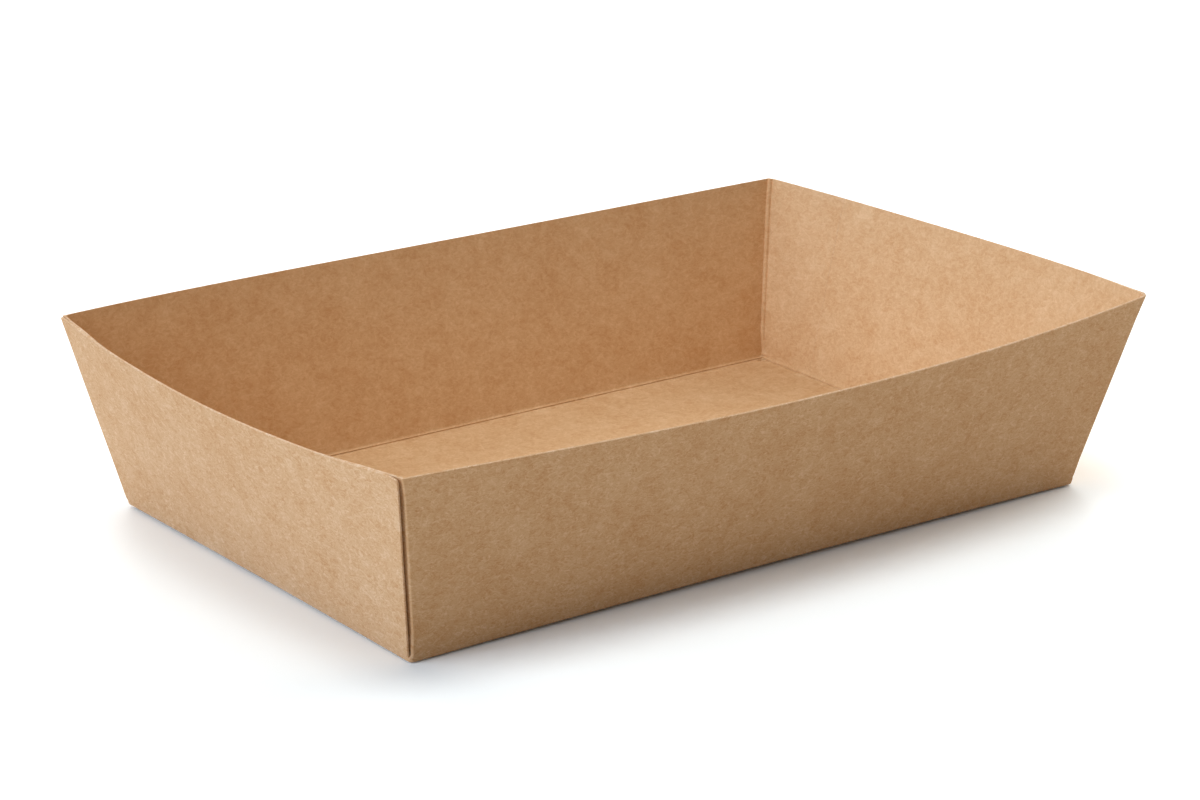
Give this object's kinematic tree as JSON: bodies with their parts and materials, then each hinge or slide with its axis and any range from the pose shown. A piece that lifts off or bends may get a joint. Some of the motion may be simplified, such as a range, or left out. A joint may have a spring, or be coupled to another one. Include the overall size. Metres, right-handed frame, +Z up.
{
  "type": "cardboard tray",
  "caption": "Shallow open rectangular food tray folded from one sheet of kraft board, with leaning walls and glued corner flaps.",
  "frame": {"origin": "middle of the base's underside, on the surface that the tray stands on", "axes": "+X along the tray's long side, +Y across it, +Z up out of the open top"},
  "size_m": [0.2218, 0.149, 0.046],
  "materials": {
    "kraft_board": "uncoated brown kraft board with short visible fibres"
  },
  "bodies": {
    "root": {"tray": "kraft_board"}
  },
  "joints": []
}
